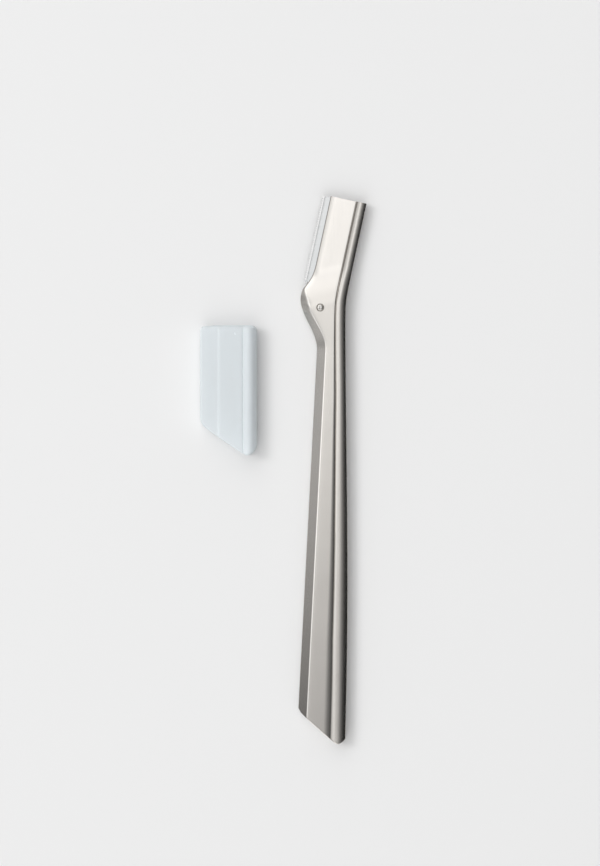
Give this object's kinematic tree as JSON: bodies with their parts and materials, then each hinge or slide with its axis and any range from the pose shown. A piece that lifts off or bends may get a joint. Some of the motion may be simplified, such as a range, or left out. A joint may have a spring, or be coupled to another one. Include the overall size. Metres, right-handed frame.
{
  "type": "eyebrow razor",
  "caption": "Slim eyebrow razor: stamped steel halves on a pivot rivet hold a guarded blade, with a slip-on cover lying beside it.",
  "frame": {"origin": "middle of the bounding box in plan, on the plane that the razor and its cover lie on", "axes": "+Y along the razor toward the head, +Z out of the front face, +X toward the spine bead"},
  "size_m": [0.035, 0.1156, 0.0044],
  "materials": {
    "shell_steel": "satin stainless steel sheet",
    "rivet_steel": "polished stainless steel",
    "inner_steel": "turned stainless steel",
    "blade_steel": "ground stainless blade steel",
    "guard_steel": "etched stainless foil",
    "cover_plastic": "milky polyethylene"
  },
  "bodies": {
    "front_half": {"front_shell": "shell_steel", "pivot_rivet": "rivet_steel", "pivot_bush": "inner_steel", "friction_washer": "inner_steel"},
    "back_half": {"back_shell": "shell_steel", "blade": "blade_steel", "blade_guard": "guard_steel", "upper_stud": "rivet_steel", "lower_stud": "rivet_steel"},
    "cover": {"blade_cover": "cover_plastic"}
  },
  "joints": [
    {"name": "blade_change_pivot", "type": "hinge", "parent": "front_half", "child": "back_half", "pos_m": [0.00776, 0.03416, 0.0017], "axis": [0, 0, 1], "range_deg": [0, 90]},
    {"name": "cover_lift", "type": "slide", "parent": "front_half", "child": "cover", "axis": [0, 0, 1], "range_m": [0, 0.03]}
  ]
}
